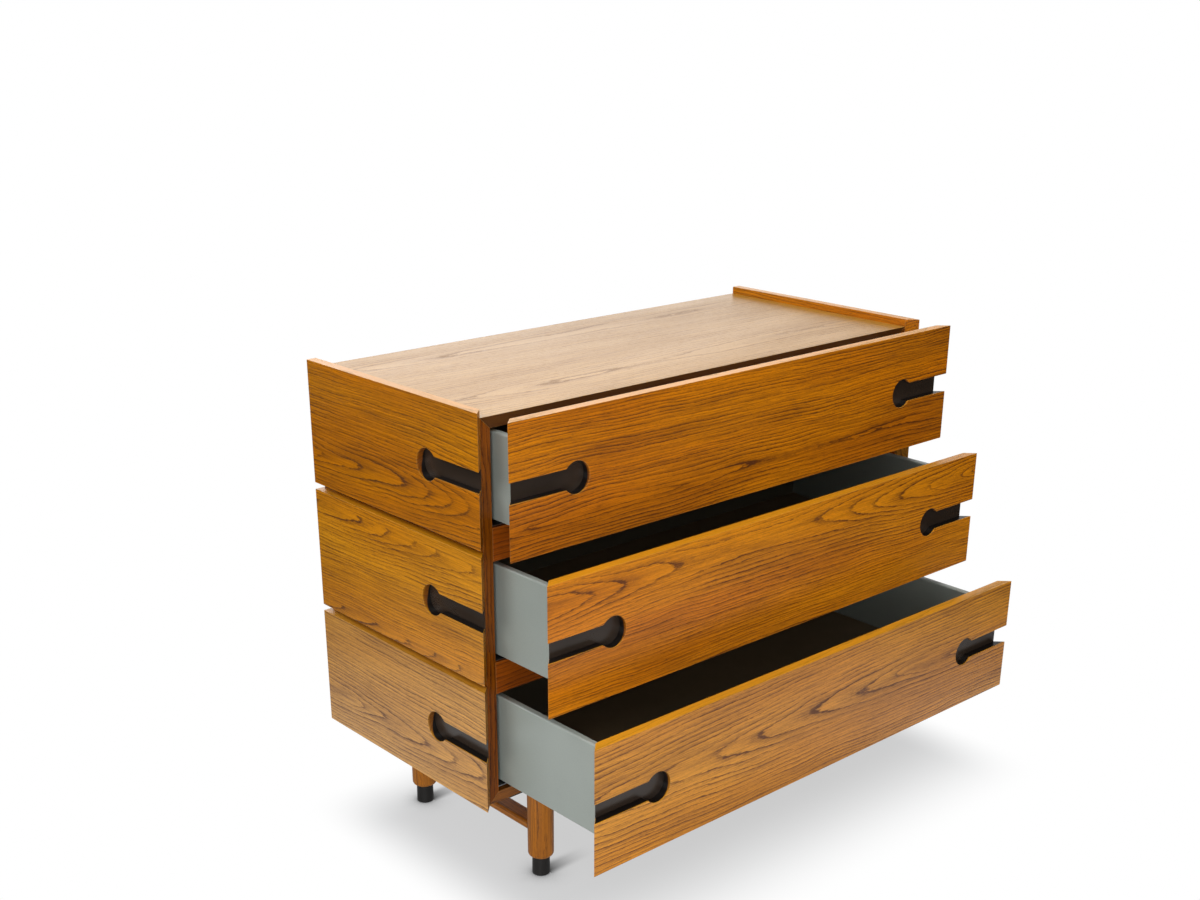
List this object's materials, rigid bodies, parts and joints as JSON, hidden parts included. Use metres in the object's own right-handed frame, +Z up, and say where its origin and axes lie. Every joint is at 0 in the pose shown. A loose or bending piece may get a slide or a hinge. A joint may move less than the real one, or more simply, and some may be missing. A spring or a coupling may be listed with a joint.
{
  "type": "dresser",
  "caption": "Wide low dresser on turned legs, its drawers pulled by keyhole slots that wrap round the mitred front corners.",
  "frame": {"origin": "on the floor, in the middle of the box that the dresser fills with its drawers drawn out as stored", "axes": "+X to the right of someone facing the drawers, +Y towards the back, +Z up; the drawers open along -Y"},
  "size_m": [1.067, 0.7394, 0.888],
  "materials": {
    "oak": "satin lacquered oak",
    "sage_paint": "satin grey-green paint on wood",
    "brown_board": "dark brown faced board",
    "pull_plate": "satin black-brown paint on board",
    "black_steel": "satin black powder coat",
    "zinc": "zinc plated"
  },
  "bodies": {
    "cabinet": {"top_panel": "oak", "bottom_panel": "oak", "side_panel_left": "oak", "side_panel_right": "oak", "back_panel": "brown_board", "rail_under_upper": "oak", "rail_under_middle": "oak", "cladding_left_upper": "oak", "cladding_left_middle": "oak", "cladding_left_lower": "oak", "cladding_right_upper": "oak", "cladding_right_middle": "oak", "cladding_right_lower": "oak", "cladding_pull_plate_left_upper": "pull_plate", "cladding_pull_plate_left_middle": "pull_plate", "cladding_pull_plate_left_lower": "pull_plate", "cladding_pull_plate_right_upper": "pull_plate", "cladding_pull_plate_right_middle": "pull_plate", "cladding_pull_plate_right_lower": "pull_plate", "leg_front_left": "oak", "leg_front_right": "oak", "leg_rear_left": "oak", "leg_rear_right": "oak", "foot_sleeve_front_left": "black_steel", "foot_sleeve_front_right": "black_steel", "foot_sleeve_rear_left": "black_steel", "foot_sleeve_rear_right": "black_steel", "stretcher_left": "oak", "stretcher_right": "oak", "cross_rail": "black_steel"},
    "drawer_upper": {"drawer_front_upper": "oak", "drawer_inner_front_upper": "sage_paint", "drawer_left_upper": "sage_paint", "drawer_right_upper": "sage_paint", "drawer_back_upper": "sage_paint", "drawer_bottom_upper": "brown_board", "front_pull_plate_left_upper": "pull_plate", "front_pull_plate_right_upper": "pull_plate"},
    "runners_upper": {"runner_member_left_upper": "zinc", "runner_member_right_upper": "zinc"},
    "drawer_middle": {"drawer_front_middle": "oak", "drawer_inner_front_middle": "sage_paint", "drawer_left_middle": "sage_paint", "drawer_right_middle": "sage_paint", "drawer_back_middle": "sage_paint", "drawer_bottom_middle": "brown_board", "front_pull_plate_left_middle": "pull_plate", "front_pull_plate_right_middle": "pull_plate"},
    "runners_middle": {"runner_member_left_middle": "zinc", "runner_member_right_middle": "zinc"},
    "drawer_lower": {"drawer_front_lower": "oak", "drawer_inner_front_lower": "sage_paint", "drawer_left_lower": "sage_paint", "drawer_right_lower": "sage_paint", "drawer_back_lower": "sage_paint", "drawer_bottom_lower": "brown_board", "front_pull_plate_left_lower": "pull_plate", "front_pull_plate_right_lower": "pull_plate"},
    "runners_lower": {"runner_member_left_lower": "zinc", "runner_member_right_lower": "zinc"}
  },
  "joints": [
    {"name": "drawer_upper_slide", "type": "slide", "parent": "cabinet", "child": "drawer_upper", "axis": [0, -1, 0], "range_m": [-0.071, 0.278]},
    {"name": "runners_upper_slide", "type": "slide", "parent": "cabinet", "child": "runners_upper", "axis": [0, -1, 0], "range_m": [-0.0355, 0.139]},
    {"name": "drawer_middle_slide", "type": "slide", "parent": "cabinet", "child": "drawer_middle", "axis": [0, -1, 0], "range_m": [-0.1575, 0.1915]},
    {"name": "runners_middle_slide", "type": "slide", "parent": "cabinet", "child": "runners_middle", "axis": [0, -1, 0], "range_m": [-0.07875, 0.09575]},
    {"name": "drawer_lower_slide", "type": "slide", "parent": "cabinet", "child": "drawer_lower", "axis": [0, -1, 0], "range_m": [-0.2635, 0.0855]},
    {"name": "runners_lower_slide", "type": "slide", "parent": "cabinet", "child": "runners_lower", "axis": [0, -1, 0], "range_m": [-0.13175, 0.04275]}
  ],
  "couplings": [
    {"joint": "runners_upper_slide", "follows": "drawer_upper_slide", "ratio": 0.5},
    {"joint": "runners_middle_slide", "follows": "drawer_middle_slide", "ratio": 0.5},
    {"joint": "runners_lower_slide", "follows": "drawer_lower_slide", "ratio": 0.5}
  ]
}
